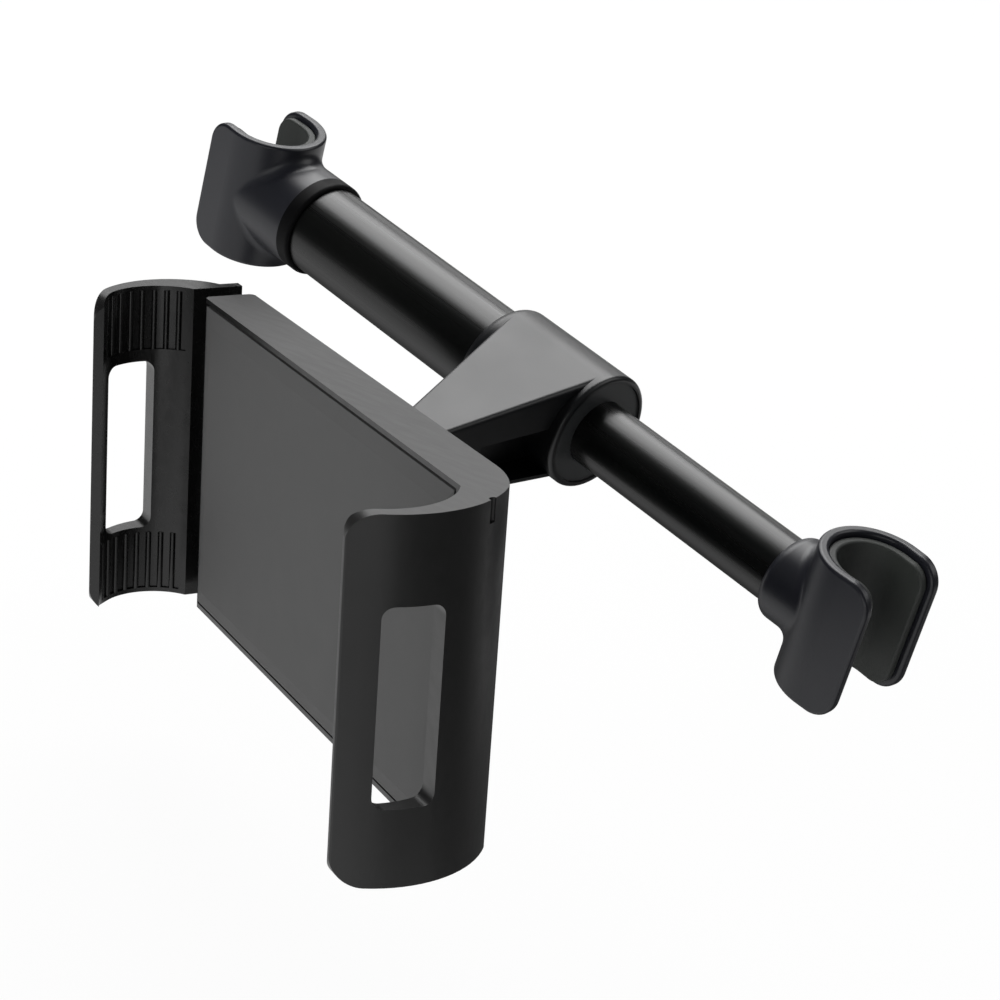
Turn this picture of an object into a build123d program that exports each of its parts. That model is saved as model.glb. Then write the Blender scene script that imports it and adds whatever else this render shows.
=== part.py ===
from build123d import *
import os
from math import cos, radians, sin, tan

os.makedirs("parts", exist_ok=True)

# Headrest tablet mount, in millimetres. X runs along the crossbar from the left clip to the right
# one, Y points towards the headrest, Z is up. The origin is the centre of the left post clip.

# Fits
running_clearance = 0.05
seat_clearance = 0.02
ball_clearance = 0.2
cut_overrun = 1.0

# Post clips
post_spacing = 179.2
clip_height = 29.5
clip_outer_radius = 11.4
clip_wall = 2.2
clip_wrap_angle = 93.0
clip_leg_length = 7.5
clip_leg_corner = 5.2
clip_edge_round = 0.7
pad_thickness = 1.8
pad_inset = 1.2
pad_edge_round = 0.5
left_boss_radius = 11.0
right_boss_radius = 9.0
boss_root_round = 2.8
boss_edge_round = 2.4
left_boss_end = 18.5
right_boss_length = 17.7
spigot_length = 9.5

# Crossbar
outer_tube_radius = 10.0
outer_tube_wall = 1.1
inner_tube_radius = 7.05
inner_tube_wall = 1.0
tube_seat_depth = 7.2
end_ring_flange = 1.0
end_ring_sleeve = 2.5
end_ring_edge_round = 0.8
bar_travel = 34.0
stop_length = 10.0
stop_cap = 1.5
stop_gap = 0.3
bar_spring_wire = 1.0
bar_spring_wire_sides = 6
bar_spring_spare = 2.0

# Collar and nose of the arm housing
housing_start = 79.0
housing_length = 30.0
housing_radius = 12.8
housing_left_round = 2.6
housing_right_round = 0.9
housing_lip = 0.4
housing_rim = 1.3
tube_engagement = 22.0
bush_length = 13.0
nose_slope = 10.0
nose_bottom = 10.0
nose_root_centre = 94.1
nose_root_width = 27.6
nose_tip_centre = 98.4
nose_tip_width = 10.8
nose_tip_distance = 38.0
nose_edge_round = 1.0
pocket_start = 8.0
pocket_end = 29.0
pocket_inner_top = 2.8
pocket_outer_top = 1.0
pocket_floor = 1.4
pocket_web = 4.0

# Ball joint
ball_centre = (98.4, -49.0, -8.0)
ball_radius = 7.0
neck_radius = 3.5
stem_tilt = 12.0
stem_length = 12.4
stud_flange_radius = 4.6
stud_flange = 1.2
shank_radius = 3.0
shank_length = 6.8
seat_wall = 1.7
rear_seat_open_angle = 57.0
rear_seat_edge_angle = 78.0
front_seat_edge_angle = 108.0
seat_slots = 4
seat_slot_width = 1.2
nut_open_angle = 56.5
nut_rear = 5.9
nut_front = 5.6
nut_radius = 12.6
nut_flute_radius = 2.6
nut_flutes = 9
nut_flute_depth = 1.0
nut_edge_round = 0.9
socket_boss_radius = 10.7
socket_boss_rear = 1.4
thread_clearance = 0.15

# Pose of the holder on the ball, as the photo shows it
holder_pan = -17.5
holder_tilt = 3.2
holder_roll = -15.1

# Holder, in its own frame: origin at the ball's centre, X to the right, Y towards the headrest
holder_height = 66.2
holder_depth = 10.4
holder_left = 44.1
holder_right = 72.4
holder_centre_z = -5.4
socket_offset = 8.3
front_wall = 2.6
side_wall = 2.4
cover_thickness = 2.0
cover_clearance = 0.1
cover_shoulder_margin = 1.2
rebate_width = 1.2
rail_offset = 12.0
rail_width = 2.0
boss_base_round = 1.2
tray_corner = 1.2
jaw_wall = 3.4
jaw_corner = 5.0
lip_thickness = 1.6
fixed_jaw_reach = 22.6
fixed_jaw_bulge = 10.6
fixed_jaw_hook = 4.3
shoulder_outward = 2.0
shoulder_inward = 7.5
shoulder_depth = 8.0
shoulder_middle = 0.3
lip_round_reach = 0.15
lip_round_place = 0.35
fixed_jaw_outer_middle = 0.4
fixed_jaw_notch_place = 0.78
fixed_jaw_notch_radius = 0.8
fixed_jaw_notch_depth = 4.2
slide_jaw_reach = 20.3
slide_jaw_bulge = 8.8
slide_jaw_hook = 4.2
slide_jaw_thinning = 1.0
slide_jaw_curve = ((0.68, 0.74), (1.0, 0.31), (0.8, -0.06))
slide_jaw_inner_middle = 0.45
slide_jaw_heel = 0.62
window_height = 36.0
window_width = 10.8
window_forward = 11.9
window_drop = 0.7
window_corner = 2.2
pad_border = 1.0
pad_groove = 0.5
pad_end_border = 1.5
front_pad_thickness = 2.0
front_pad_proud = 0.7
front_pad_bevel_width = 3.3
front_pad_bevel_depth = 0.6

# Sliding jaw
jaw_gap = 6.0
jaw_travel = 50.0
tongue_spring_gap = 2.9
tongue_thickness = 3.6
tongue_guided = 42.0
tongue_play = 0.3
shoulder_step = 0.8
lug_stop_gap = 0.4
lug_width = 3.0
lug_overhang = 2.2
rib_count = 8
rib_radius = 0.6
rib_zone = 12.4
rib_margin = 0.9
rib_recess = 0.45
rib_recess_start = 0.06
rib_recess_end = 0.82
rib_lead = 0.7
jaw_spring_radius = 1.8
jaw_spring_wire = 0.6
jaw_spring_wire_sides = 5
jaw_spring_turns = 16
jaw_spring_inset = 7.1
anchor_from_right = 5.0
anchor_radius = 1.5

# Fasteners
cover_screw_radius = 1.25
cover_screw_head = 2.2
cover_screw_head_height = 1.4
cover_screw_length = 6.0
screw_post_radius = 2.8
screw_inset_x = 7.0
screw_inset_z = 5.1
set_screw_radius = 1.5
left_screw_length = 3.0
set_screw_sink = 0.2
left_screw_inset = 4.0
right_screw_inset = 4.5
housing_screw_inset = 9.0
hex_socket = 0.8
hex_socket_share = 0.5

# How near an edge has to be to the size that it is picked by
size_match = 0.01
nearly_along = 0.9

# Places along the crossbar that follow from the sizes above
clip_bore_radius = clip_outer_radius - clip_wall
pad_bore_radius = clip_bore_radius - pad_thickness
tube_bore_radius = outer_tube_radius - outer_tube_wall
outer_tube_start = left_boss_end + end_ring_flange
outer_tube_end = housing_start + tube_engagement
housing_end = housing_start + housing_length
right_boss_start = post_spacing - right_boss_length
spigot_end = left_boss_end + spigot_length
bush_start = outer_tube_end - bush_length
stop_end = bush_start - stop_gap
stop_start = stop_end - stop_length
inner_tube_start = stop_start + stop_cap
inner_tube_end = right_boss_start + tube_seat_depth

# Places in the holder's own frame
back_y = -socket_offset
front_y = back_y - holder_depth
holder_pose = (
    Location(ball_centre)
    * Rotation(0, 0, holder_pan)
    * Rotation(holder_tilt, 0, 0)
    * Rotation(0, holder_roll, 0)
)


def clip_path(radius):
    """Points of one side line of the C: leg tip, tangent point and back of the clip."""
    angle = radians(clip_wrap_angle)
    tangent = (radius * cos(angle), radius * sin(angle))
    tip = (tangent[0] - clip_leg_length * sin(angle), tangent[1] + clip_leg_length * cos(angle))
    return tip, tangent, (radius, 0)


def clip_section(outer_radius, inner_radius, shorter=0.0):
    """Plan of a C-shaped wall that opens towards -X, with its centre on the origin."""
    angle = radians(clip_wrap_angle)
    pull = (shorter * sin(angle), -shorter * cos(angle))
    outer_tip, outer_tangent, outer_back = clip_path(outer_radius)
    inner_tip, inner_tangent, inner_back = clip_path(inner_radius)
    outer_tip = (outer_tip[0] + pull[0], outer_tip[1] + pull[1])
    inner_tip = (inner_tip[0] + pull[0], inner_tip[1] + pull[1])
    with BuildSketch(Plane.XY) as section:
        with BuildLine():
            Line(outer_tip, outer_tangent)
            ThreePointArc(outer_tangent, outer_back, (outer_tangent[0], -outer_tangent[1]))
            Line((outer_tangent[0], -outer_tangent[1]), (outer_tip[0], -outer_tip[1]))
            Line((outer_tip[0], -outer_tip[1]), (inner_tip[0], -inner_tip[1]))
            Line((inner_tip[0], -inner_tip[1]), (inner_tangent[0], -inner_tangent[1]))
            ThreePointArc((inner_tangent[0], -inner_tangent[1]), inner_back, inner_tangent)
            Line(inner_tangent, inner_tip)
            Line(inner_tip, outer_tip)
        make_face()
    return section.sketch


def leg_tip_edges(part, wall):
    """The short edges across the wall at the four corners of the two legs."""
    across = part.edges().filter_by(GeomType.LINE).filter_by(lambda e: abs(e.length - wall) < size_match)
    return across.group_by(Axis.X)[0]


def rim_edges(part, height):
    """Edges of the flat top and bottom rims, height apart."""
    level = part.faces().filter_by(Axis.Z)
    rims = level.filter_by(lambda f: abs(abs(f.center().Z) - height / 2) < size_match)
    return rims.edges()


def save(piece, name):
    """Label a finished piece and write it."""
    piece.part.label = name
    export_step(piece.part, f"parts/{name}.step")


def clip_shell(boss_radius, boss_length, boss_end_round):
    """A C-shaped clip round the Z axis, open towards -X, with its round boss towards +X."""
    with BuildPart() as shell:
        add(clip_section(clip_outer_radius, clip_bore_radius))
        extrude(amount=clip_height / 2, both=True)
        fillet(leg_tip_edges(shell.part, clip_wall), clip_leg_corner)
        fillet(rim_edges(shell.part, clip_height), clip_edge_round)
        with BuildSketch(Plane.YZ):
            Circle(boss_radius)
        extrude(amount=boss_length)
        crossings = shell.edges().filter_by(lambda e: e.geom_type not in (GeomType.LINE, GeomType.CIRCLE))
        crossings = crossings.filter_by(lambda e: abs(e.center().Z) < boss_radius)
        fillet(crossings.sort_by(lambda e: e.center().X)[-1], boss_root_round)
        with BuildSketch(Plane.XY):
            Circle(clip_bore_radius)
        extrude(amount=clip_height, both=True, mode=Mode.SUBTRACT)
        if boss_end_round > 0:
            fillet(shell.edges().filter_by(GeomType.CIRCLE).sort_by(Axis.X)[-1], boss_end_round)
    return shell.part


def clip_lining():
    """The rubber lining of a clip, a thinner C that stops short of the shell's rims and tips."""
    lining_height = clip_height - 2 * pad_inset
    with BuildPart() as lining:
        add(clip_section(clip_bore_radius - seat_clearance, pad_bore_radius, pad_inset))
        extrude(amount=lining_height / 2, both=True)
        fillet(leg_tip_edges(lining.part, pad_thickness - seat_clearance), clip_leg_corner - pad_inset)
        fillet(rim_edges(lining.part, lining_height), pad_edge_round)
    return lining.part


def on_right_post(part):
    """A left-hand clip piece turned over onto the right post."""
    return Pos(post_spacing, 0, 0) * mirror(part, about=Plane.YZ)


def screw_hole_plane(x, depth_radius):
    """Plane square to a set screw at x, depth_radius behind the crossbar's axis, facing outwards."""
    return Plane(origin=(x, depth_radius, 0), x_dir=(1, 0, 0), z_dir=(0, 1, 0))


def set_screw(x, outer_radius, length):
    """A headless screw with a hexagon socket, flush with a surface outer_radius behind the axis."""
    with BuildPart() as screw:
        with BuildSketch(screw_hole_plane(x, outer_radius - set_screw_sink)):
            Circle(set_screw_radius)
        extrude(amount=-length)
        with BuildSketch(screw_hole_plane(x, outer_radius - set_screw_sink)):
            RegularPolygon(hex_socket, 6)
        extrude(amount=-length * hex_socket_share, mode=Mode.SUBTRACT)
        chamfer(screw.faces().sort_by(Axis.Y)[0].edges(), hex_socket / 3)
    return screw.part


left_screw_x = outer_tube_start + end_ring_sleeve + left_screw_inset
right_screw_x = right_boss_start + right_screw_inset
right_screw_length = right_boss_radius - set_screw_sink - inner_tube_radius - seat_clearance
housing_screw_x = housing_start + housing_screw_inset
hole_radius = set_screw_radius + seat_clearance

# Left clip, with the spigot that plugs the thick tube and the set screw's hole
left_shell = clip_shell(left_boss_radius, left_boss_end, 0)
with BuildPart() as left_clip:
    add(left_shell)
    with BuildSketch(Plane.YZ.offset(left_boss_end)):
        Circle(tube_bore_radius - seat_clearance)
    extrude(amount=spigot_length)
    with BuildSketch(screw_hole_plane(left_screw_x, outer_tube_radius)):
        Circle(hole_radius)
    extrude(amount=-left_screw_length - set_screw_sink - seat_clearance, mode=Mode.SUBTRACT)
save(left_clip, "left_clip")

with BuildPart() as left_clip_pad:
    add(clip_lining())
save(left_clip_pad, "left_clip_pad")

# Right clip, with the socket that the thin tube is fixed in
right_shell = on_right_post(clip_shell(right_boss_radius, right_boss_length, boss_edge_round))
with BuildPart() as right_clip:
    add(right_shell)
    with BuildSketch(Plane.YZ.offset(right_boss_start)):
        Circle(inner_tube_radius + seat_clearance)
    extrude(amount=tube_seat_depth, mode=Mode.SUBTRACT)
    with BuildSketch(screw_hole_plane(right_screw_x, right_boss_radius)):
        Circle(hole_radius)
    extrude(amount=-right_boss_radius, mode=Mode.SUBTRACT)
save(right_clip, "right_clip")

right_lining = on_right_post(clip_lining())
with BuildPart() as right_clip_pad:
    add(right_lining)
save(right_clip_pad, "right_clip_pad")

# Thick tube of the crossbar
with BuildPart() as outer_tube:
    with BuildSketch(Plane.YZ.offset(outer_tube_start)):
        Circle(outer_tube_radius)
        Circle(tube_bore_radius, mode=Mode.SUBTRACT)
    extrude(amount=outer_tube_end - outer_tube_start)
    with BuildSketch(screw_hole_plane(left_screw_x, outer_tube_radius)):
        Circle(hole_radius)
    extrude(amount=-2 * outer_tube_wall, mode=Mode.SUBTRACT)
save(outer_tube, "outer_tube")

# The set screws that hold the clips on the tubes
with BuildPart() as left_clip_screw:
    add(set_screw(left_screw_x, outer_tube_radius, left_screw_length))
save(left_clip_screw, "left_clip_screw")

with BuildPart() as right_clip_screw:
    add(set_screw(right_screw_x, right_boss_radius, right_screw_length))
save(right_clip_screw, "right_clip_screw")

# Trim ring that covers the cut end of the thick tube beside the boss
ring_bore = outer_tube_radius + seat_clearance
with BuildPart() as tube_end_ring:
    with BuildSketch(Plane.XY):
        with BuildLine():
            Polyline(
                (left_boss_end, tube_bore_radius),
                (left_boss_end, left_boss_radius),
                (outer_tube_start + end_ring_sleeve, left_boss_radius),
                (outer_tube_start + end_ring_sleeve, ring_bore),
                (outer_tube_start, ring_bore),
                (outer_tube_start, tube_bore_radius),
                close=True,
            )
        make_face()
    revolve(axis=Axis.X)
    ring_rims = tube_end_ring.edges().filter_by(GeomType.CIRCLE)
    outer_rims = ring_rims.filter_by(lambda e: abs(e.radius - left_boss_radius) < size_match)
    fillet(outer_rims.sort_by(Axis.X)[-1], end_ring_edge_round)
save(tube_end_ring, "tube_end_ring")

# Thin tube, which slides in the bush
with BuildPart() as inner_tube:
    with BuildSketch(Plane.YZ.offset(inner_tube_start)):
        Circle(inner_tube_radius)
        Circle(inner_tube_radius - inner_tube_wall, mode=Mode.SUBTRACT)
    extrude(amount=inner_tube_end - inner_tube_start)
save(inner_tube, "inner_tube")

# Collar on the thin tube's inner end: it guides the tube, stops it at the bush and carries the spring
with BuildPart() as slide_stop:
    with BuildSketch(Plane.YZ.offset(stop_start)):
        Circle(tube_bore_radius - running_clearance)
    extrude(amount=stop_length)
    with BuildSketch(Plane.YZ.offset(inner_tube_start)):
        Circle(inner_tube_radius + seat_clearance)
    extrude(amount=stop_length, mode=Mode.SUBTRACT)
save(slide_stop, "slide_stop")

# Compression spring that pushes the clips apart
spring_room = stop_start - spigot_end
bar_spring_turns = int((spring_room - bar_travel - bar_spring_spare) / bar_spring_wire)
spring_pitch = (spring_room - 2 * bar_spring_wire) / bar_spring_turns
spring_radius = tube_bore_radius - bar_spring_wire - pad_inset
with BuildPart() as bar_spring:
    with BuildLine() as spring_line:
        Helix(
            pitch=spring_pitch,
            height=spring_pitch * bar_spring_turns,
            radius=spring_radius,
            center=(spigot_end + bar_spring_wire, 0, 0),
            direction=(1, 0, 0),
        )
    with BuildSketch(Plane(origin=spring_line.line @ 0, z_dir=spring_line.line % 0)):
        RegularPolygon(bar_spring_wire / 2, bar_spring_wire_sides)
    sweep(path=spring_line.line, is_frenet=True)
save(bar_spring, "bar_spring")

# Bush in the collar's right end, held inside the thick tube; the thin tube runs through it
flange_radius = housing_radius - housing_rim
with BuildPart() as guide_bush:
    with BuildSketch(Plane.YZ.offset(bush_start)):
        Circle(tube_bore_radius - seat_clearance)
    extrude(amount=bush_length)
    with BuildSketch(Plane.YZ.offset(outer_tube_end)):
        Circle(flange_radius)
    extrude(amount=housing_end - housing_lip - outer_tube_end)
    with BuildSketch(Plane.YZ.offset(bush_start)):
        Circle(inner_tube_radius + running_clearance)
    extrude(amount=housing_length, mode=Mode.SUBTRACT)
save(guide_bush, "guide_bush")

# Ball stud's axis, from the ball back to the nose
stem_direction = Vector(0, cos(radians(stem_tilt)), sin(radians(stem_tilt)))
nose_front = Plane(origin=Vector(*ball_centre) + stem_direction * stem_length, z_dir=stem_direction)

# Arm housing: a tapering nose blended into the collar, hollowed on both sides, and bored for the tube
slope = radians(nose_slope)
top_start = (-housing_radius * sin(slope), housing_radius * cos(slope))
top_fall = (nose_tip_distance - housing_radius * sin(slope) + bush_length) * tan(slope)
with BuildPart() as arm_housing:
    with BuildSketch(Plane.YZ):
        with BuildLine():
            Polyline(
                (0, -nose_bottom),
                (-nose_tip_distance - bush_length, -nose_bottom),
                (-nose_tip_distance - bush_length, top_start[1] - top_fall),
                top_start,
                (0, top_start[1]),
                close=True,
            )
        make_face()
    extrude(amount=housing_end + bush_length)
    nose_plan_end = nose_tip_distance + bush_length
    widening = (nose_root_width - nose_tip_width) / nose_tip_distance
    drift = (nose_tip_centre - nose_root_centre) / nose_tip_distance
    end_half = (nose_root_width - widening * nose_plan_end) / 2
    end_centre = nose_root_centre + drift * nose_plan_end
    with BuildSketch(Plane.XY):
        with BuildLine():
            Polyline(
                (nose_root_centre - nose_root_width / 2, 0),
                (nose_root_centre + nose_root_width / 2, 0),
                (end_centre + end_half, -nose_plan_end),
                (end_centre - end_half, -nose_plan_end),
                close=True,
            )
        make_face()
    extrude(amount=2 * housing_radius, both=True, mode=Mode.INTERSECT)
    split(bisect_by=nose_front, keep=Keep.TOP)
    long_edges = arm_housing.edges().filter_by(lambda e: e.length > nose_tip_distance / 2)
    fillet(long_edges.filter_by(lambda e: abs((e % 0.5).Y) > nearly_along), nose_edge_round)
    for side in (-1, 1):
        with BuildSketch(Plane.YZ.offset(nose_tip_centre + side * pocket_web / 2)):
            with BuildLine():
                Polyline(
                    (-pocket_start, pocket_floor - nose_bottom),
                    (-pocket_start, pocket_inner_top),
                    (-pocket_end, pocket_outer_top),
                    (-pocket_end, pocket_floor - nose_bottom),
                    close=True,
                )
            make_face()
        extrude(amount=side * nose_root_width, mode=Mode.SUBTRACT)
    with BuildSketch(Plane.YZ.offset(housing_start)):
        Circle(housing_radius)
    extrude(amount=housing_length)
    collar_rims = arm_housing.edges().filter_by(GeomType.CIRCLE)
    collar_rims = collar_rims.filter_by(lambda e: abs(e.radius - housing_radius) < size_match)
    collar_rims = collar_rims.filter_by(Plane.YZ).sort_by(Axis.X)
    fillet(collar_rims[0], housing_left_round)
    right_rims = arm_housing.edges().filter_by(GeomType.CIRCLE).filter_by(Plane.YZ)
    fillet(right_rims.sort_by(Axis.X)[-1], housing_right_round)
    with BuildSketch(Plane.YZ.offset(housing_start)):
        Circle(outer_tube_radius + seat_clearance)
    extrude(amount=tube_engagement, mode=Mode.SUBTRACT)
    with BuildSketch(Plane.YZ.offset(outer_tube_end)):
        Circle(flange_radius + seat_clearance)
    extrude(amount=housing_length, mode=Mode.SUBTRACT)
    with BuildSketch(nose_front):
        Circle(shank_radius + seat_clearance)
    extrude(amount=shank_length, mode=Mode.SUBTRACT)
    with BuildSketch(screw_hole_plane(housing_screw_x, housing_radius)):
        Circle(hole_radius)
    extrude(amount=outer_tube_radius - housing_radius, mode=Mode.SUBTRACT)
save(arm_housing, "arm_housing")

# Set screw that holds the collar on the thick tube
with BuildPart() as housing_screw:
    with BuildSketch(screw_hole_plane(housing_screw_x, housing_radius - set_screw_sink)):
        Circle(set_screw_radius)
        RegularPolygon(hex_socket, 6, mode=Mode.SUBTRACT)
    extrude(amount=outer_tube_radius + seat_clearance - housing_radius + set_screw_sink)
save(housing_screw, "housing_screw")

# Ball stud: ball, neck, flange against the nose and the shank inside it
neck_start = (ball_radius**2 - neck_radius**2) ** 0.5
with BuildPart() as ball_stud:
    with BuildSketch(Plane.XZ):
        with BuildLine():
            outline_start = (0, -ball_radius)
            ThreePointArc(outline_start, (ball_radius, 0), (neck_radius, neck_start))
            Polyline(
                (neck_radius, neck_start),
                (neck_radius, stem_length - stud_flange),
                (stud_flange_radius, stem_length - stud_flange),
                (stud_flange_radius, stem_length),
                (shank_radius, stem_length),
                (shank_radius, stem_length + shank_length - seat_clearance),
                (0, stem_length + shank_length - seat_clearance),
                outline_start,
            )
        make_face()
    revolve(axis=Axis.Z)
ball_stud.part.locate(Plane(origin=ball_centre, z_dir=stem_direction).location)
save(ball_stud, "ball_stud")


def shell_sector(inner_radius, outer_radius, first_angle, last_angle):
    """Half section of a spherical shell round the Z axis, between two angles from +Z."""
    corners = []
    for angle in (first_angle, (first_angle + last_angle) / 2, last_angle):
        across = sin(radians(angle))
        along = cos(radians(angle))
        corners.append([(radius * across, radius * along) for radius in (inner_radius, outer_radius)])
    with BuildSketch(Plane.XZ) as section:
        with BuildLine():
            ThreePointArc(corners[0][1], corners[1][1], corners[2][1])
            Line(corners[2][1], corners[2][0])
            ThreePointArc(corners[2][0], corners[1][0], corners[0][0])
            Line(corners[0][0], corners[0][1])
        make_face()
    return section.sketch


seat_bore_radius = ball_radius + ball_clearance
seat_outer_radius = seat_bore_radius + seat_wall
socket_radius = seat_outer_radius + ball_clearance

# Rear seat: the ring that the nut presses on the ball, slotted so that it can close on it
with BuildPart() as rear_ball_seat:
    add(shell_sector(seat_bore_radius, seat_outer_radius, rear_seat_open_angle, rear_seat_edge_angle))
    revolve(axis=Axis.Z)
    with BuildSketch(Plane.XY):
        with Locations((seat_outer_radius, 0)):
            Rectangle(2 * seat_outer_radius, seat_slot_width)
    extrude(amount=2 * seat_outer_radius, both=True, mode=Mode.SUBTRACT)
turned_stem = stem_direction.rotate(Axis.Z, holder_pan)
rear_ball_seat.part.locate(Plane(origin=ball_centre, z_dir=turned_stem).location)
save(rear_ball_seat, "rear_ball_seat")

# Front seat: the cup under the ball, slotted into four springy leaves
with BuildPart() as front_ball_seat:
    add(shell_sector(seat_bore_radius, seat_outer_radius, front_seat_edge_angle, 180))
    revolve(axis=Axis.Z)
    with BuildSketch(Plane.XY):
        with PolarLocations(seat_outer_radius, seat_slots):
            Rectangle(seat_outer_radius, seat_slot_width)
    extrude(amount=-2 * seat_outer_radius, mode=Mode.SUBTRACT)
front_ball_seat.part.locate(Plane(origin=(0, 0, 0), z_dir=(0, 1, 0)).location)
front_ball_seat.part.move(holder_pose)
save(front_ball_seat, "front_ball_seat")

# Lock nut: threaded skirt round the socket, a ball-shaped lip over the rear seat, finger flutes
lip_radius = socket_radius * sin(radians(nut_open_angle))
lip_height = socket_radius * cos(radians(nut_open_angle))
lip_start = socket_boss_rear + ball_clearance
lip_start_radius = (socket_radius**2 - lip_start**2) ** 0.5
skirt_bore = socket_boss_radius + thread_clearance
nut_mouth = lip_radius + nut_rear - lip_height
with BuildPart() as lock_nut:
    with BuildSketch(Plane.XZ):
        with BuildLine():
            middle_height = (lip_start + lip_height) / 2
            middle_radius = (socket_radius**2 - middle_height**2) ** 0.5
            lip_middle = (middle_radius, middle_height)
            ThreePointArc((lip_start_radius, lip_start), lip_middle, (lip_radius, lip_height))
            Polyline(
                (lip_radius, lip_height),
                (nut_mouth, nut_rear),
                (nut_radius, nut_rear),
                (nut_radius, -nut_front),
                (skirt_bore, -nut_front),
                (skirt_bore, lip_start),
                (lip_start_radius, lip_start),
            )
        make_face()
    revolve(axis=Axis.Z)
    nut_rims = lock_nut.edges().filter_by(GeomType.CIRCLE)
    fillet(nut_rims.filter_by(lambda e: abs(e.radius - nut_radius) < size_match), nut_edge_round)
    with BuildSketch(Plane.XY):
        with PolarLocations(nut_radius + nut_flute_radius - nut_flute_depth, nut_flutes):
            Circle(nut_flute_radius)
    extrude(amount=nut_radius, both=True, mode=Mode.SUBTRACT)
lock_nut.part.locate(Plane(origin=(0, 0, 0), z_dir=(0, 1, 0)).location)
lock_nut.part.move(holder_pose)
save(lock_nut, "lock_nut")

# Outline and levels of the holder, all in its own frame
left_x = -holder_left
top_z = holder_centre_z + holder_height / 2
bottom_z = holder_centre_z - holder_height / 2
cavity_half_height = holder_height / 2 - side_wall - rebate_width
cavity_left = left_x + side_wall
cavity_right = holder_right - shoulder_inward - rebate_width - cover_shoulder_margin
cavity_front = front_y + front_wall
cover_front = back_y - cover_thickness
tongue_front = cavity_front + tongue_play
tongue_rear = tongue_front + tongue_thickness
mid_level = Plane.XY.offset(holder_centre_z)
screw_places = [
    (x, z)
    for x in (cavity_left + screw_inset_x, cavity_right - screw_inset_x)
    for z in (bottom_z + screw_inset_z, top_z - screw_inset_z)
]
jaw_spring_offset = cavity_half_height - jaw_spring_inset
spring_rows = (holder_centre_z - jaw_spring_offset, holder_centre_z + jaw_spring_offset)
tongue_half_height = jaw_spring_offset - tongue_spring_gap
lug_half_height = jaw_spring_offset + lug_overhang
window_level = holder_centre_z - window_drop
anchor_x = cavity_right - anchor_from_right
lug_x = cavity_left + lug_stop_gap + jaw_travel
tongue_end = left_x + tongue_guided + jaw_travel


def facing_back(y):
    """Sketch plane at depth y whose axes are the holder's X and Z and whose normal points forward."""
    return Plane(origin=(0, y, 0), x_dir=(1, 0, 0), z_dir=(0, -1, 0))


def block(x_range, y_range, z_range):
    """Rectangular bar between the given pairs of limits."""
    with BuildPart() as bar:
        with BuildSketch(Plane.XY.offset(z_range[0])):
            with Locations(((x_range[0] + x_range[1]) / 2, (y_range[0] + y_range[1]) / 2)):
                Rectangle(x_range[1] - x_range[0], y_range[1] - y_range[0])
        extrude(amount=z_range[1] - z_range[0])
    return bar.part


def jaw_side_form(corner, deepest):
    """The side view of a jaw and the tray behind it, rounded at the lip, as a bar to trim them to."""
    with BuildPart() as form:
        with BuildSketch(Plane.YZ.offset(-2 * holder_right)):
            with Locations(((deepest + back_y) / 2, holder_centre_z)):
                Rectangle(back_y - deepest, holder_height)
        extrude(amount=4 * holder_right)
        fillet(form.edges().filter_by(Axis.X).group_by(Axis.Y)[0], corner)
    return form.part


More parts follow.
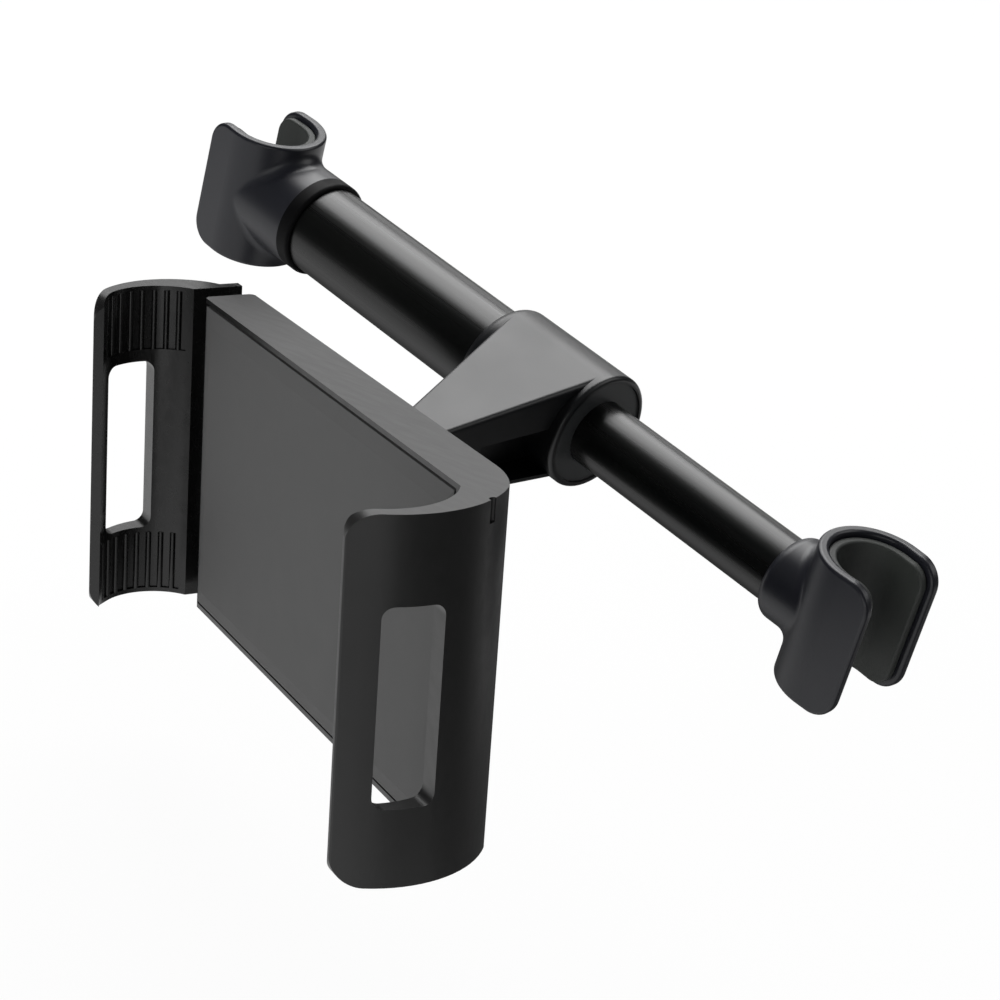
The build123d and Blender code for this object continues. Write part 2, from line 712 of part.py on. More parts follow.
# Tray with the fixed jaw: one moulding, open at the back, with the slot that the tongue runs through
inner_tip = (holder_right + fixed_jaw_hook, front_y - fixed_jaw_reach + lip_thickness)
outer_tip = (holder_right + fixed_jaw_hook + lip_thickness, front_y - fixed_jaw_reach)
fixed_jaw_tip = front_y - fixed_jaw_reach - lip_thickness * lip_round_reach
lip_end = (holder_right + fixed_jaw_hook + lip_thickness * lip_round_place, fixed_jaw_tip)
inner_bulge = (holder_right + fixed_jaw_bulge - jaw_wall, front_y - fixed_jaw_reach / 2)
outer_bulge = (holder_right + fixed_jaw_bulge, front_y - fixed_jaw_reach * fixed_jaw_outer_middle)
back_shoulder = (holder_right + shoulder_outward, front_y + shoulder_depth)
with BuildPart() as holder_frame:
    with BuildSketch(mid_level):
        with BuildLine():
            Line((left_x, front_y), (holder_right, front_y))
            ThreePointArc((holder_right, front_y), inner_bulge, inner_tip)
            ThreePointArc(inner_tip, lip_end, outer_tip)
            outer_line = ThreePointArc(outer_tip, outer_bulge, back_shoulder)
            shoulder_mid = (
                holder_right - shoulder_inward * shoulder_middle,
                back_y - (holder_depth - shoulder_depth) * shoulder_middle,
            )
            ThreePointArc(back_shoulder, shoulder_mid, (holder_right - shoulder_inward, back_y))
            Line((holder_right - shoulder_inward, back_y), (left_x, back_y))
            Line((left_x, back_y), (left_x, front_y))
        make_face()
    extrude(amount=holder_height / 2, both=True)
    add(jaw_side_form(jaw_corner, fixed_jaw_tip), mode=Mode.INTERSECT)
    left_corners = holder_frame.edges().filter_by(Axis.Z).group_by(Axis.X)[0]
    fillet(left_corners, tray_corner)
    with BuildSketch(Plane.YZ.offset(holder_right)):
        with Locations((front_y - window_forward, window_level)):
            RectangleRounded(window_width, window_height, window_corner)
    extrude(amount=2 * fixed_jaw_bulge, mode=Mode.SUBTRACT)
    # notch down from the top in the outer face
    with BuildSketch(Plane.XY.offset(top_z)):
        with Locations(outer_line @ fixed_jaw_notch_place):
            Circle(fixed_jaw_notch_radius)
    extrude(amount=-fixed_jaw_notch_depth, mode=Mode.SUBTRACT)
    # recess for the front pad
    add(
        block(
            (left_x + pad_border, holder_right - pad_end_border),
            (front_y - cut_overrun, front_y + front_pad_thickness - front_pad_proud),
            (bottom_z + pad_border, top_z - pad_border),
        ),
        mode=Mode.SUBTRACT,
    )
    # cavity, and the rebate round it that the cover lies in
    add(
        block(
            (cavity_left, cavity_right),
            (cavity_front, back_y + cut_overrun),
            (holder_centre_z - cavity_half_height, holder_centre_z + cavity_half_height),
        ),
        mode=Mode.SUBTRACT,
    )
    add(
        block(
            (cavity_left - rebate_width, cavity_right + rebate_width),
            (cover_front, back_y + cut_overrun),
            (
                holder_centre_z - cavity_half_height - rebate_width,
                holder_centre_z + cavity_half_height + rebate_width,
            ),
        ),
        mode=Mode.SUBTRACT,
    )
    # slot in the left wall
    add(
        block(
            (left_x - cut_overrun, cavity_left + cut_overrun),
            (cavity_front, tongue_rear + tongue_play),
            (
                holder_centre_z - tongue_half_height - tongue_play,
                holder_centre_z + tongue_half_height + tongue_play,
            ),
        ),
        mode=Mode.SUBTRACT,
    )
    with BuildSketch(facing_back(cover_front)):
        with Locations(*screw_places):
            Circle(screw_post_radius)
    extrude(amount=cover_front - cavity_front)
    with BuildSketch(facing_back(tongue_rear)):
        with Locations(*[(anchor_x, z) for z in spring_rows]):
            Circle(anchor_radius)
    extrude(amount=tongue_rear - cavity_front)
    with BuildSketch(facing_back(cover_front)):
        with Locations(*screw_places):
            Circle(cover_screw_radius + seat_clearance)
    extrude(amount=cover_screw_length, mode=Mode.SUBTRACT)
holder_frame.part.move(holder_pose)
save(holder_frame, "holder_frame")

# Front pad, a sheet with broad bevels in the tray's recess, with a groove left round it
pad_middle = ((left_x + pad_border + holder_right - pad_end_border) / 2, holder_centre_z)
pad_width = holder_left + holder_right - pad_border - pad_end_border - 2 * pad_groove
pad_height = holder_height - 2 * pad_border - 2 * pad_groove
with BuildPart() as front_pad:
    with BuildSketch(facing_back(front_y + front_pad_thickness - front_pad_proud - seat_clearance)):
        with Locations(pad_middle):
            Rectangle(pad_width, pad_height)
    extrude(amount=front_pad_thickness - seat_clearance - front_pad_bevel_depth)
    with BuildSketch(facing_back(front_y - front_pad_proud + front_pad_bevel_depth)):
        with Locations(pad_middle):
            Rectangle(pad_width, pad_height)
    with BuildSketch(facing_back(front_y - front_pad_proud)):
        with Locations(pad_middle):
            Rectangle(pad_width - 2 * front_pad_bevel_width, pad_height - 2 * front_pad_bevel_width)
    loft()
front_pad.part.move(holder_pose)
save(front_pad, "front_pad")

# Back cover with the socket for the ball, rails that hold the tongue down and countersunk holes
with BuildPart() as back_cover:
    cover_middle = ((cavity_left + cavity_right) / 2, holder_centre_z)
    with BuildSketch(facing_back(back_y)):
        with Locations(cover_middle):
            Rectangle(
                cavity_right - cavity_left + 2 * (rebate_width - cover_clearance),
                2 * (cavity_half_height + rebate_width - cover_clearance),
            )
    extrude(amount=cover_thickness - seat_clearance)
    with BuildSketch(facing_back(socket_boss_rear)):
        Circle(socket_boss_radius)
    extrude(amount=socket_boss_rear - back_y)
    with BuildSketch(facing_back(cover_front + seat_clearance)):
        for z in (-rail_offset, rail_offset):
            with Locations((cover_middle[0], holder_centre_z + z)):
                Rectangle(cavity_right - cavity_left - 2 * screw_inset_x, rail_width)
    extrude(amount=cover_front + seat_clearance - tongue_rear - tongue_play)
    with BuildSketch(facing_back(back_y)):
        with Locations(*screw_places):
            Circle(cover_screw_head + cover_clearance)
    extrude(amount=cover_screw_head_height, mode=Mode.SUBTRACT)
    with BuildSketch(facing_back(back_y)):
        with Locations(*screw_places):
            Circle(cover_screw_radius + cover_clearance)
    extrude(amount=cover_thickness, mode=Mode.SUBTRACT)
    Sphere(socket_radius, mode=Mode.SUBTRACT)
    base_ring = back_cover.edges().filter_by(GeomType.CIRCLE)
    base_ring = base_ring.filter_by(lambda e: abs(e.radius - socket_boss_radius) < size_match)
    fillet(base_ring.sort_by(Axis.Y)[0], boss_base_round)
back_cover.part.move(holder_pose)
save(back_cover, "back_cover")

# Cover screws, one group
with BuildPart() as cover_screws:
    with BuildSketch(facing_back(back_y - seat_clearance)):
        with Locations(*screw_places):
            Circle(cover_screw_head)
            RegularPolygon(hex_socket, 6, mode=Mode.SUBTRACT)
    extrude(amount=cover_screw_head_height - 2 * seat_clearance)
    with BuildSketch(facing_back(back_y - cover_screw_head_height / 2)):
        with Locations(*screw_places):
            Circle(cover_screw_radius)
    extrude(amount=cover_screw_length)
cover_screws.part.move(holder_pose)
save(cover_screws, "cover_screws")

# Sliding jaw: curved wall with its window and grip ribs, side wall, and the tongue with spring lugs
side_x = left_x - jaw_gap
slide_jaw_tip = front_y - slide_jaw_reach - lip_thickness
jaw_tip_outer = (side_x + slide_jaw_hook - lip_thickness, slide_jaw_tip)
jaw_tip_inner = (side_x + slide_jaw_hook, front_y - slide_jaw_reach)
jaw_heel = (side_x - side_wall, front_y + holder_depth * slide_jaw_heel)
with BuildPart() as sliding_jaw:
    with BuildSketch(mid_level):
        with BuildLine():
            outer_points = [
                (side_x - slide_jaw_bulge * out, front_y - slide_jaw_reach * forward)
                for out, forward in slide_jaw_curve
            ]
            Spline(jaw_tip_outer, *outer_points, jaw_heel)
            Polyline(
                jaw_heel,
                (side_x - side_wall, back_y),
                (side_x, back_y),
                (side_x, front_y),
            )
            inner_line = ThreePointArc(
                (side_x, front_y),
                (
                    side_x - slide_jaw_bulge + jaw_wall + slide_jaw_thinning,
                    front_y - slide_jaw_reach * slide_jaw_inner_middle,
                ),
                jaw_tip_inner,
            )
            Line(jaw_tip_inner, jaw_tip_outer)
        make_face()
    extrude(amount=holder_height / 2, both=True)
    add(jaw_side_form(jaw_corner, slide_jaw_tip), mode=Mode.INTERSECT)
    recess_steps = (rib_recess_start, (rib_recess_start + rib_recess_end) / 2, rib_recess_end)
    rib_room = rib_recess_end - rib_recess_start
    rib_steps = [rib_recess_start + rib_room * (n + rib_lead) / rib_count for n in range(rib_count)]
    arc_centre = inner_line.edge().arc_center
    sunk = 1 + rib_recess / inner_line.edge().radius
    for zone_start in (holder_height / 2 - rib_margin - rib_zone, rib_margin - holder_height / 2):
        with BuildSketch(mid_level.offset(zone_start)):
            with BuildLine():
                near = [inner_line @ step for step in recess_steps]
                far = [arc_centre + (point - arc_centre) * sunk for point in near]
                ThreePointArc(*near)
                Line(near[2], far[2])
                ThreePointArc(far[2], far[1], far[0])
                Line(far[0], near[0])
            make_face()
        extrude(amount=rib_zone, mode=Mode.SUBTRACT)
        with BuildSketch(mid_level.offset(zone_start)):
            with Locations(*[arc_centre + (inner_line @ step - arc_centre) * sunk for step in rib_steps]):
                Circle(rib_radius)
        extrude(amount=rib_zone)
    with BuildSketch(Plane.YZ.offset(side_x - 2 * slide_jaw_bulge)):
        with Locations((front_y - window_forward, window_level)):
            RectangleRounded(window_width, window_height, window_corner)
    extrude(amount=2 * slide_jaw_bulge + slide_jaw_hook, mode=Mode.SUBTRACT)
    # shoulder that stops against the tray, and the tongue behind it
    add(
        block(
            (side_x, left_x - stop_gap),
            (tongue_front, tongue_rear + shoulder_step),
            (
                holder_centre_z - tongue_half_height - shoulder_step,
                holder_centre_z + tongue_half_height + shoulder_step,
            ),
        )
    )
    add(
        block(
            (side_x, tongue_end),
            (tongue_front, tongue_rear),
            (holder_centre_z - tongue_half_height, holder_centre_z + tongue_half_height),
        )
    )
    add(
        block(
            (lug_x, lug_x + lug_width),
            (tongue_front, tongue_rear),
            (holder_centre_z - lug_half_height, holder_centre_z + lug_half_height),
        )
    )
sliding_jaw.part.move(holder_pose)
save(sliding_jaw, "sliding_jaw")

# Extension springs between the tongue's lugs and the tray's anchor posts
jaw_spring_start = lug_x + lug_width + jaw_spring_wire
jaw_spring_length = anchor_x - anchor_radius - jaw_spring_wire - jaw_spring_start
for name, z in zip(("lower_jaw_spring", "upper_jaw_spring"), spring_rows):
    with BuildPart() as jaw_spring:
        with BuildLine() as coil_line:
            Helix(
                pitch=jaw_spring_length / jaw_spring_turns,
                height=jaw_spring_length,
                radius=jaw_spring_radius - jaw_spring_wire / 2,
                center=(jaw_spring_start, (tongue_front + tongue_rear) / 2, z),
                direction=(1, 0, 0),
            )
        with BuildSketch(Plane(origin=coil_line.line @ 0, z_dir=coil_line.line % 0)):
            RegularPolygon(jaw_spring_wire / 2, jaw_spring_wire_sides)
        sweep(path=coil_line.line, is_frenet=True)
    jaw_spring.part.move(holder_pose)
    save(jaw_spring, name)
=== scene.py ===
"""Looks of the headrest tablet mount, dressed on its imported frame. Lengths are in metres."""
import math

import bpy
import numpy as np
from mathutils import Matrix, Vector


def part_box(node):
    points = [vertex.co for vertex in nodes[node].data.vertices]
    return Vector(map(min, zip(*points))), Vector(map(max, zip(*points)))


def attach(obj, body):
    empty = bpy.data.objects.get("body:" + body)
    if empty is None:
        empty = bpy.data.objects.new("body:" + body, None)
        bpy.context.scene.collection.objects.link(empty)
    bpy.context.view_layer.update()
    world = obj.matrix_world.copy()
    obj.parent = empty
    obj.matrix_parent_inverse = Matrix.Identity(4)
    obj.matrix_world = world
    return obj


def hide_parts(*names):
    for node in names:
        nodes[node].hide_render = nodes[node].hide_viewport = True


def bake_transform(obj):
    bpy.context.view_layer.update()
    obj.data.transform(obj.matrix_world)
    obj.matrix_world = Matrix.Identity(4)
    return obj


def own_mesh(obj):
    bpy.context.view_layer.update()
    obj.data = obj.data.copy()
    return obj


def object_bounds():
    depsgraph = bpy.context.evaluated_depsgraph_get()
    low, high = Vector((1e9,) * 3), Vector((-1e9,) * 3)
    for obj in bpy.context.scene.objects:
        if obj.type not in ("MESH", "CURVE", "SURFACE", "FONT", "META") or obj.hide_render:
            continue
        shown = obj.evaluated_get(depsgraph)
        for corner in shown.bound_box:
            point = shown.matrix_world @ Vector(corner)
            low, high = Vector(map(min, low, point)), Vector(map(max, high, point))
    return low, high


MM = 0.001

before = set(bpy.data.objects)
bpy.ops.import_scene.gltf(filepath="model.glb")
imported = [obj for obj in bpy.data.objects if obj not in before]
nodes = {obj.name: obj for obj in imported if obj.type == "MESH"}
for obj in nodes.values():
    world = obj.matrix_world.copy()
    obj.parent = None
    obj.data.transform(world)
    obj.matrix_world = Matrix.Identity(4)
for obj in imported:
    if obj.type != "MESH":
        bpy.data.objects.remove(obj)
cad_box = [list(corner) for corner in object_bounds()]


# Materials

# Between these two values lies most of a noise
NOISE_LOW = 0.3
NOISE_HIGH = 0.7


def linear(hex_colour):
    """An sRGB hex colour as linear red, green, blue and an alpha of 1."""
    channels = [int(hex_colour[k:k + 2], 16) / 255 for k in (1, 3, 5)]
    return [c / 12.92 if c <= 0.04045 else ((c + 0.055) / 1.055) ** 2.4 for c in channels] + [1.0]


def add_node(tree, kind, inputs=None, **settings):
    """Add a node of that kind; inputs gives each named socket a value or the socket that feeds it."""
    node = tree.nodes.new(kind)
    for name, value in settings.items():
        setattr(node, name, value)
    for name, value in (inputs or {}).items():
        if isinstance(value, bpy.types.NodeSocket):
            tree.links.new(value, node.inputs[name])
        else:
            node.inputs[name].default_value = value
    return node


def new_material(name):
    """A material, its node tree, its Object coordinates and its Principled shader, wired to the output."""
    material = bpy.data.materials.new(name)
    material.use_nodes = True
    tree = material.node_tree
    tree.nodes.clear()
    place = add_node(tree, "ShaderNodeTexCoord").outputs["Object"]
    shader = add_node(tree, "ShaderNodeBsdfPrincipled")
    add_node(tree, "ShaderNodeOutputMaterial", {"Surface": shader.outputs["BSDF"]})
    return material, tree, place, shader


def feed(tree, shader, **sources):
    """Link sources to the shader's sockets; an underscore in a name stands for a space."""
    for name, source in sources.items():
        tree.links.new(source, shader.inputs[name.replace("_", " ")])


def noise(tree, place, size_mm, detail=2.0, stretch=(1, 1, 1)):
    """Noise whose blotches are about size_mm across, drawn out by the factors in stretch."""
    scaled = add_node(tree, "ShaderNodeMapping", {"Vector": place, "Scale": [1 / s for s in stretch]})
    return add_node(
        tree, "ShaderNodeTexNoise",
        {"Vector": scaled.outputs["Vector"], "Scale": 1 / (size_mm * MM), "Detail": detail},
    ).outputs["Fac"]


def spread(tree, source, low, high):
    """Stretch the middle of a noise to run from low to high."""
    return add_node(
        tree, "ShaderNodeMapRange",
        {"Value": source, "From Min": NOISE_LOW, "From Max": NOISE_HIGH, "To Min": low, "To Max": high},
    ).outputs["Result"]


def tint(tree, source, dark, light):
    """Mix two hex colours by a noise."""
    ramp = add_node(tree, "ShaderNodeValToRGB", {"Fac": source})
    first, last = ramp.color_ramp.elements
    first.position, first.color = NOISE_LOW, linear(dark)
    last.position, last.color = NOISE_HIGH, linear(light)
    return ramp.outputs["Color"]


def relief(tree, height, depth_mm):
    """Bump whose hills are depth_mm high."""
    return add_node(
        tree, "ShaderNodeBump", {"Height": height, "Strength": 1.0, "Distance": depth_mm * MM},
    ).outputs["Normal"]


def moulded(name, dark, light, roughness, grain_mm, grain_depth_mm):
    """Injection-moulded plastic: a fine spark-eroded grain and a sheen that varies a little with the flow."""
    material, tree, place, shader = new_material(name)
    swing = 0.03
    flow = noise(tree, place, size_mm=14.0)
    grain = noise(tree, place, grain_mm, detail=3.0)
    feed(
        tree, shader,
        Base_Color=tint(tree, flow, dark, light),
        Roughness=spread(tree, flow, roughness - swing, roughness + swing),
        Normal=relief(tree, grain, grain_depth_mm),
    )
    shader.inputs["IOR"].default_value = 1.5
    return material


def polished(name, dark, light, roughness):
    """Glossy moulding: long soft waves where the plastic shrank, and fine wiping marks that dull it."""
    material, tree, place, shader = new_material(name)
    polish, wear, shrink_depth_mm = 0.02, 0.05, 0.012
    shrink = noise(tree, place, size_mm=22.0)
    wiping = noise(tree, place, size_mm=1.2, detail=4.0, stretch=(9, 1, 2))
    feed(
        tree, shader,
        Base_Color=tint(tree, shrink, dark, light),
        Roughness=spread(tree, wiping, roughness - polish, roughness + wear),
        Normal=relief(tree, shrink, shrink_depth_mm),
    )
    shader.inputs["IOR"].default_value = 1.53
    return material


def drawn_tube(name, dark, light, roughness):
    """Black anodised aluminium tube: die lines run along it, drawn wider than real so that they show."""
    material, tree, place, shader = new_material(name)
    swing, line_depth_mm = 0.04, 0.0015
    lines = noise(tree, place, size_mm=0.5, detail=3.0, stretch=(160, 1, 1))
    bath = noise(tree, place, size_mm=30.0)
    feed(
        tree, shader,
        Base_Color=tint(tree, bath, dark, light),
        Roughness=spread(tree, lines, roughness - swing, roughness + swing),
        Normal=relief(tree, lines, line_depth_mm),
    )
    shader.inputs["IOR"].default_value = 1.48
    return material


def rubber(name, dark, light, roughness, grain_mm, grain_depth_mm):
    """Rubber: no gloss, a close pebble from the mould and a faint bloom."""
    material, tree, place, shader = new_material(name)
    swing = 0.05
    bloom = noise(tree, place, size_mm=9.0, detail=4.0)
    pebble = add_node(
        tree, "ShaderNodeTexVoronoi", {"Vector": place, "Scale": 1 / (grain_mm * MM)},
    ).outputs["Distance"]
    feed(
        tree, shader,
        Base_Color=tint(tree, bloom, dark, light),
        Roughness=spread(tree, bloom, roughness - swing, roughness + swing),
        Normal=relief(tree, pebble, grain_depth_mm),
    )
    shader.inputs["IOR"].default_value = 1.52
    return material


def painted_shade_black(name, dark, light, roughness):
    """Soft PVC trim, black and matt with oily patches, its reflection cut almost to nothing as painted shade:
    it reads as a black line between two glosses.
    """
    material, tree, place, shader = new_material(name)
    swing = 0.05
    oil = noise(tree, place, size_mm=4.0)
    feed(
        tree, shader,
        Base_Color=tint(tree, oil, dark, light),
        Roughness=spread(tree, oil, roughness - swing, roughness + swing),
    )
    # Painted shade: the reflection is cut almost to nothing so that the ring stays black in any light
    shader.inputs["Specular IOR Level"].default_value = 0.12
    return material


def metal(name, dark, light, roughness, marks_mm):
    """Bare or blackened steel: a tight highlight broken by fine handling marks."""
    material, tree, place, shader = new_material(name)
    swing = 0.06
    marks = noise(tree, place, marks_mm, detail=5.0)
    feed(
        tree, shader,
        Base_Color=tint(tree, marks, dark, light),
        Roughness=spread(tree, marks, roughness - swing, roughness + swing),
    )
    shader.inputs["Metallic"].default_value = 1.0
    return material


# Each finish gives its name, its darker and its lighter colour and its roughness. A grained one also gives
# the grain's size and depth in mm, and a metal the size of its marks.

# Spark-eroded ABS: a soft satin sheen, faintly blue as black plastic often is
clip_abs = moulded("abs_satin_black", "#191a20", "#1c1d23", 0.36, 0.35, 0.004)
finishes = {
    "left_clip": clip_abs,
    "right_clip": clip_abs,
    # The same ABS without the blue: the nose's flat top shows one even grey sheet of light
    "arm_housing": moulded("abs_satin_black_arm", "#0e0f11", "#111214", 0.38, 0.35, 0.004),
    # Polished ABS: the tray's top and the fixed jaw carry long soft reflections
    "holder_frame": polished("abs_gloss_black_frame", "#181818", "#1b1b1b", 0.36),
    # Glossier ABS: black faces with light only on ribs and edges
    "sliding_jaw": polished("abs_gloss_black_jaw", "#0c0c0c", "#0f0f0f", 0.24),
    # Satin ABS, duller than the tray round it, so that the cover's seam shows
    "back_cover": moulded("abs_satin_black_cover", "#1a1a1b", "#1e1e1f", 0.42, 0.4, 0.006),
    # Nylon: waxy and a little greyer than the ABS
    "lock_nut": moulded("nylon_satin_black", "#19191a", "#1d1d1e", 0.4, 0.3, 0.006),
    # Soft PVC, black, with painted shade: its cut reflection makes a matt black line between the boss and the
    # tube
    "tube_end_ring": painted_shade_black("pvc_ring_painted_shade", "#050506", "#080809", 0.6),
    # Dark acetal: a smooth face one shade lighter than the collar's mouth round it
    "guide_bush": moulded("acetal_dark_grey_bush", "#292b2c", "#2d2f30", 0.45, 0.4, 0.004),
    # Natural grey acetal, seen only down the tube
    "slide_stop": moulded("acetal_natural_grey", "#5a5b5c", "#626364", 0.4, 0.5, 0.004),
    # Drawn, black-anodised aluminium: deep black with a long soft highlight and die lines in it
    "outer_tube": drawn_tube("anodised_aluminium_black", "#050606", "#080908", 0.3),
    "inner_tube": drawn_tube("anodised_aluminium_black_slim", "#050606", "#080908", 0.3),
    # Moulded rubber: charcoal with a trace of green and no gloss
    "left_clip_pad": rubber("moulded_rubber_lining", "#2a2d2b", "#303330", 0.62, 0.4, 0.01),
    "right_clip_pad": rubber("moulded_rubber_lining_right", "#2a2d2b", "#303330", 0.62, 0.4, 0.01),
    # Sheet rubber: a flat mid grey
    "front_pad": rubber("sheet_rubber_pad", "#494949", "#4c4c4c", 0.8, 0.35, 0.006),
    # Grey acetal: the seats show pale inside the black nut
    "rear_ball_seat": moulded("acetal_grey_rear", "#4a4b4c", "#505152", 0.4, 0.5, 0.004),
    "front_ball_seat": moulded("acetal_grey_front", "#4a4b4c", "#505152", 0.4, 0.5, 0.004),
    # Bright plated steel: a small sharp spark between the nut and the nose
    "ball_stud": metal("steel_bright_plated", "#a9a9a8", "#b4b4b3", 0.2, 1.5),
}
# Black oxide on steel: dark screws with a tight grey glint in their sockets
black_oxide = metal("steel_black_oxide", "#26262a", "#303034", 0.38, 0.6)
# Drawn spring steel: light grey wire with a bright line along it
spring_wire = metal("steel_spring_wire", "#8a8b8c", "#949597", 0.3, 0.8)
for name, node in nodes.items():
    node.data.materials.clear()
    node.data.materials.append(finishes.get(name, black_oxide))


# Springs of round wire, in place of the plain solids that hold their room

# The holder's own frame stands on the ball's centre, turned by the ball joint's three angles at rest
BALL = Vector((98.4, -49.0, -8.0)) * MM
pan, tilt, roll = (math.radians(angle) for angle in (-17.5, 3.2, -15.1))
holder_place = (
    Matrix.Translation(BALL)
    @ Matrix.Rotation(pan, 4, "Z")
    @ Matrix.Rotation(tilt, 4, "X")
    @ Matrix.Rotation(roll, 4, "Y")
)


def wire_along(name, line, beside, wire_radius, sides=12):
    """Round wire: a circle stands square to the line at each point, turned by the direction in beside."""
    ahead = np.gradient(line, axis=0)
    ahead /= np.linalg.norm(ahead, axis=1, keepdims=True)
    across = beside - np.sum(beside * ahead, axis=1, keepdims=True) * ahead
    across /= np.linalg.norm(across, axis=1, keepdims=True)
    upright = np.cross(ahead, across)
    turn = np.linspace(0, 2 * np.pi, sides, endpoint=False)[None, :, None]
    wall = line[:, None] + wire_radius * (np.cos(turn) * across[:, None] + np.sin(turn) * upright[:, None])
    row, column = np.meshgrid(np.arange(len(line) - 1), np.arange(sides), indexing="ij")
    here = (row * sides + column).ravel()
    following = (row * sides + (column + 1) % sides).ravel()
    skin = np.stack([following, following + sides, here + sides, here], axis=1)
    first = list(range(sides))[::-1]
    last = list(range((len(line) - 1) * sides, len(line) * sides))
    mesh = bpy.data.meshes.new(name)
    mesh.from_pydata(wall.reshape(-1, 3).tolist(), [], skin.tolist() + [first, last])
    mesh.polygons.foreach_set("use_smooth", [True] * len(skin) + [False, False])
    mesh.update()
    mesh.materials.append(spring_wire)
    wire = bpy.data.objects.new(name, mesh)
    bpy.context.scene.collection.objects.link(wire)
    return wire


def closed_coil(length, radius, turns, closed_turns, wire, steps=24):
    """Helix round X: even turning, and a pitch that falls to the wire's thickness in the closed end turns."""
    turned = np.linspace(0, turns, int(turns * steps) + 1)
    tight = np.minimum(turned, closed_turns) + np.maximum(turned - turns + closed_turns, 0)
    open_share = np.clip((turned - closed_turns) / (turns - 2 * closed_turns), 0, 1)
    along = tight * wire + open_share * (length - 2 * closed_turns * wire)
    angle = 2 * np.pi * turned
    return np.stack([along, radius * np.cos(angle), radius * np.sin(angle)], axis=1)


def hooked_coil(first_x, post_x, coil_radius, hook_radius, turns, steps=24):
    """Helix round X, wound down to its axis over its first and last half turn, then an XZ arc round the post.

    It comes with the direction beside the wire, which turns from X to Y where the helix becomes the hook."""
    half_turn = 0.5
    # The hook's first and last angle round the post in degrees, and its points between them
    hook_start, hook_end, hook_points = 180, 470, 30
    # The turn from X to Y in points of the line, and how many of them come before the hook
    turning_points, points_before_hook = 12, 8
    turned = np.linspace(0, turns, int(turns * steps) + 1)
    swell = np.clip(np.minimum(turned, turns - turned) / half_turn, 0, 1)
    swell = swell * swell * (3 - 2 * swell) * coil_radius
    angle = 2 * np.pi * turned
    along = first_x + (post_x - hook_radius - first_x) * turned / turns
    winding = np.stack([along, swell * np.cos(angle), swell * np.sin(angle)], axis=1)
    round_post = np.radians(np.linspace(hook_start, hook_end, hook_points))[1:]
    hook = np.stack(
        [post_x + hook_radius * np.cos(round_post), 0 * round_post, hook_radius * np.sin(round_post)], axis=1,
    )
    line = np.concatenate([winding, hook])
    past = np.arange(len(line)) - len(winding) + points_before_hook
    share = np.clip(past / turning_points, 0, 1)[:, None]
    return line, (1 - share) * np.array([1.0, 0, 0]) + share * np.array([0, 1.0, 0])


bar_low, bar_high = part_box("bar_spring")
bar_wire = 1.0 * MM
bar_turns = 13
bar_end_turns = 1.25
bar_length = bar_high[0] - bar_low[0]
bar_radius = (bar_high[1] - bar_low[1] - bar_wire) / 2
bar_line = closed_coil(bar_length - bar_wire, bar_radius, bar_turns, bar_end_turns, bar_wire)
bar_line += np.array([bar_low[0] + bar_wire / 2, 0, 0])
bar_coil = wire_along("bar_spring_wire", bar_line, np.tile([1.0, 0, 0], (len(bar_line), 1)), bar_wire / 2)
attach(bar_coil, "crossbar")
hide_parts("bar_spring")
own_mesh(bar_coil)

# Places in the holder's own frame: the jaw's lugs, the tray's posts and the two rows of springs
lug_face = 12.05 * MM
post_x = 57.5 * MM
spring_depth = -14.0 * MM
holder_middle = -5.4 * MM
spring_rise = 22.4 * MM
jaw_wire = 0.6 * MM
jaw_coil_radius = 1.5 * MM
jaw_hook_radius = 1.85 * MM
jaw_turns = 27.25
turned_axes = np.array(holder_place.to_3x3())
for name, side in (("lower_jaw_spring", -1), ("upper_jaw_spring", 1)):
    coil_line, coil_beside = hooked_coil(lug_face, post_x, jaw_coil_radius, jaw_hook_radius, jaw_turns)
    coil_line = coil_line + np.array([0, spring_depth, holder_middle + side * spring_rise])
    placed = coil_line @ turned_axes.T + np.array(holder_place.translation)
    jaw_coil = wire_along(name + "_wire", placed, coil_beside @ turned_axes.T, jaw_wire / 2)
    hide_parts(name)
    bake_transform(jaw_coil)


# Floor, light and camera

floor_gap = 30 * MM
floor_size = 6.0
floor_level = cad_box[0][2] - floor_gap
sheet_glow = 0.85
dark_floor_glow = 0.06
shadow_share = 0.06
room_glow = 0.04


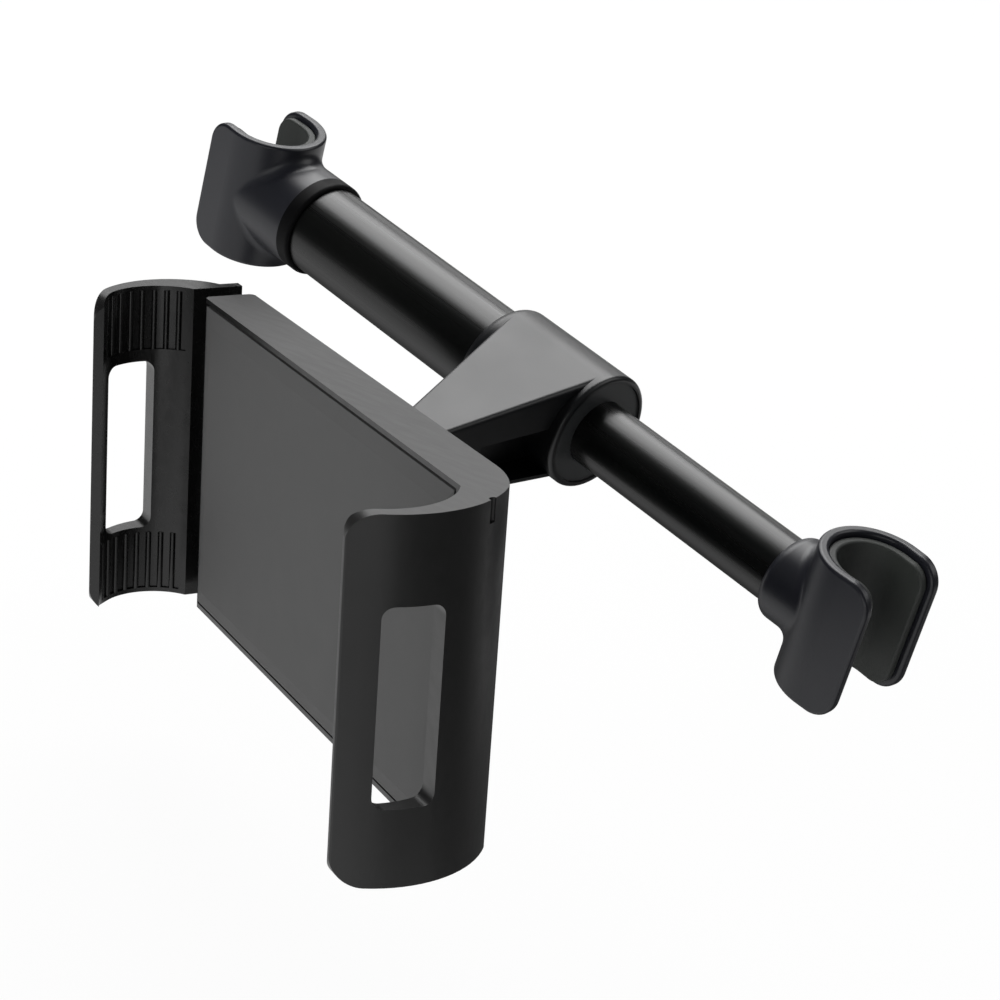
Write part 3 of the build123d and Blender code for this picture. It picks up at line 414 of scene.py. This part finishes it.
def pale_floor():
    """White floor that the camera sees as white with the object's shadow, which fades out far from it.

    Gloss sees a white sheet in front of the object and one behind it on a dark studio floor, which leaves
    black edges on black plastic."""
    half = floor_size / 2
    mesh = bpy.data.meshes.new("floor")
    corners = [(-half, -half), (half, -half), (half, half), (-half, half)]
    mesh.from_pydata([(x, y, floor_level) for x, y in corners], [], [(0, 1, 2, 3)])
    floor = bpy.data.objects.new("floor", mesh)
    bpy.context.scene.collection.objects.link(floor)
    material = bpy.data.materials.new("floor_white")
    material.use_nodes = True
    tree = material.node_tree
    tree.nodes.clear()
    place = add_node(tree, "ShaderNodeTexCoord").outputs["Object"]
    depth = add_node(tree, "ShaderNodeSeparateXYZ", {"Vector": place}).outputs["Y"]

    def maths(operation, first, second):
        return add_node(tree, "ShaderNodeMath", {0: first, 1: second}, operation=operation).outputs[0]

    def fade(value, full_mm, gone_mm):
        """1 up to full_mm, softly down to 0 at gone_mm."""
        return add_node(
            tree, "ShaderNodeMapRange",
            {
                "Value": value, "From Min": full_mm * MM, "From Max": gone_mm * MM,
                "To Min": 1.0, "To Max": 0.0,
            },
            interpolation_type="SMOOTHSTEP",
        ).outputs["Result"]

    def distance(y_mm):
        """How far a place is from the point at depth y_mm under the object's middle."""
        centre = (middle.x, y_mm * MM, floor_level)
        return add_node(
            tree, "ShaderNodeVectorMath", {0: place, 1: centre}, operation="DISTANCE",
        ).outputs["Value"]

    # Each sheet has a round soft rim and is cut off softly on its side towards the object
    from_front = distance(-100)
    front_sheet = maths("MULTIPLY", fade(depth, -60, 30), fade(from_front, 280, 420))
    rear_sheet = maths("MULTIPLY", fade(depth, 220, 130), fade(distance(330), 240, 400))
    sheet = maths("MULTIPLY", maths("MAXIMUM", front_sheet, rear_sheet), sheet_glow)
    rays = add_node(tree, "ShaderNodeLightPath").outputs
    through = maths("MAXIMUM", rays["Is Camera Ray"], rays["Is Transmission Ray"])
    strength = maths("MAXIMUM", through, maths("MAXIMUM", sheet, dark_floor_glow))
    seen = maths("MAXIMUM", through, rays["Is Glossy Ray"])
    shadowed = maths("MULTIPLY", fade(from_front, 250, 900), shadow_share)
    white_share = maths("SUBTRACT", 1.0, shadowed)
    paint = add_node(tree, "ShaderNodeBsdfDiffuse", {"Color": linear("#f2f2f2")})
    glow = add_node(tree, "ShaderNodeEmission", {"Strength": strength})
    mixed = add_node(
        tree, "ShaderNodeMixShader",
        {0: maths("MULTIPLY", seen, white_share), 1: paint.outputs["BSDF"], 2: glow.outputs["Emission"]},
    )
    add_node(tree, "ShaderNodeOutputMaterial", {"Surface": mixed.outputs["Shader"]})
    mesh.materials.append(material)


def studio_world():
    """Dim grey room that shows as white to the camera."""
    world = bpy.data.worlds.new("studio")
    bpy.context.scene.world = world
    world.use_nodes = True
    tree = world.node_tree
    tree.nodes.clear()
    room = add_node(tree, "ShaderNodeBackground", {"Color": linear("#ffffff"), "Strength": room_glow})
    white = add_node(tree, "ShaderNodeBackground", {"Color": linear("#ffffff"), "Strength": 1.0})
    rays = add_node(tree, "ShaderNodeLightPath").outputs
    mixed = add_node(
        tree, "ShaderNodeMixShader",
        {0: rays["Is Camera Ray"], 1: room.outputs["Background"], 2: white.outputs["Background"]},
    )
    add_node(tree, "ShaderNodeOutputWorld", {"Surface": mixed.outputs["Shader"]})


def softbox(name, azimuth, elevation, distance, width, height, radiance, in_gloss=True):
    """Area lamp that faces the object from azimuth (0 is in front, 90 on the right) and elevation."""
    lamp = bpy.data.lights.new(name, "AREA")
    lamp.shape = "RECTANGLE"
    lamp.size = width
    lamp.size_y = height
    lamp.energy = radiance * math.pi * width * height
    around, up = math.radians(azimuth), math.radians(elevation)
    outwards = Vector((math.sin(around) * math.cos(up), -math.cos(around) * math.cos(up), math.sin(up)))
    stand = bpy.data.objects.new(name, lamp)
    bpy.context.scene.collection.objects.link(stand)
    stand.location = middle + outwards * distance
    stand.visible_glossy = in_gloss
    stand.rotation_euler = outwards.to_track_quat("Z", "Y").to_euler()


middle = (Vector(cad_box[0]) + Vector(cad_box[1])) / 2
pale_floor()
studio_world()
# Name, azimuth and elevation in degrees, distance, width and height in metres, radiance
softbox("back_top", 234, 47, 1.2, 1.1, 0.9, 5.4)
softbox("back_low", 228, 9, 1.4, 1.3, 0.4, 1.15)
softbox("front", -20, 22, 1.2, 0.9, 0.9, 3.3, in_gloss=False)
softbox("camera_side", 34, 2, 1.4, 1.3, 0.8, 1.5)
softbox("rear_right", 140, 40, 1.3, 0.9, 0.7, 1.7)

# The camera stands and looks as the photograph's does
camera_place = Vector((395.2, -378.4, 262.6)) * MM
camera_right = Vector((0.662, 0.713, 0.2312))
camera_up = Vector((-0.5204, 0.2152, 0.8263))
focal_pixels = 2700
frame_pixels = 1000
sensor_width = 36
camera = bpy.data.cameras.new("camera")
camera.sensor_width = sensor_width
camera.lens = sensor_width * focal_pixels / frame_pixels
camera.clip_start = 0.02
camera_holder = bpy.data.objects.new("camera", camera)
bpy.context.scene.collection.objects.link(camera_holder)
camera_back = camera_right.cross(camera_up)
turned = Matrix((camera_right, camera_up, camera_back)).transposed().to_4x4()
camera_holder.matrix_world = Matrix.Translation(camera_place) @ turned
bpy.context.scene.camera = camera_holder
bpy.context.scene.view_settings.view_transform = "Standard"
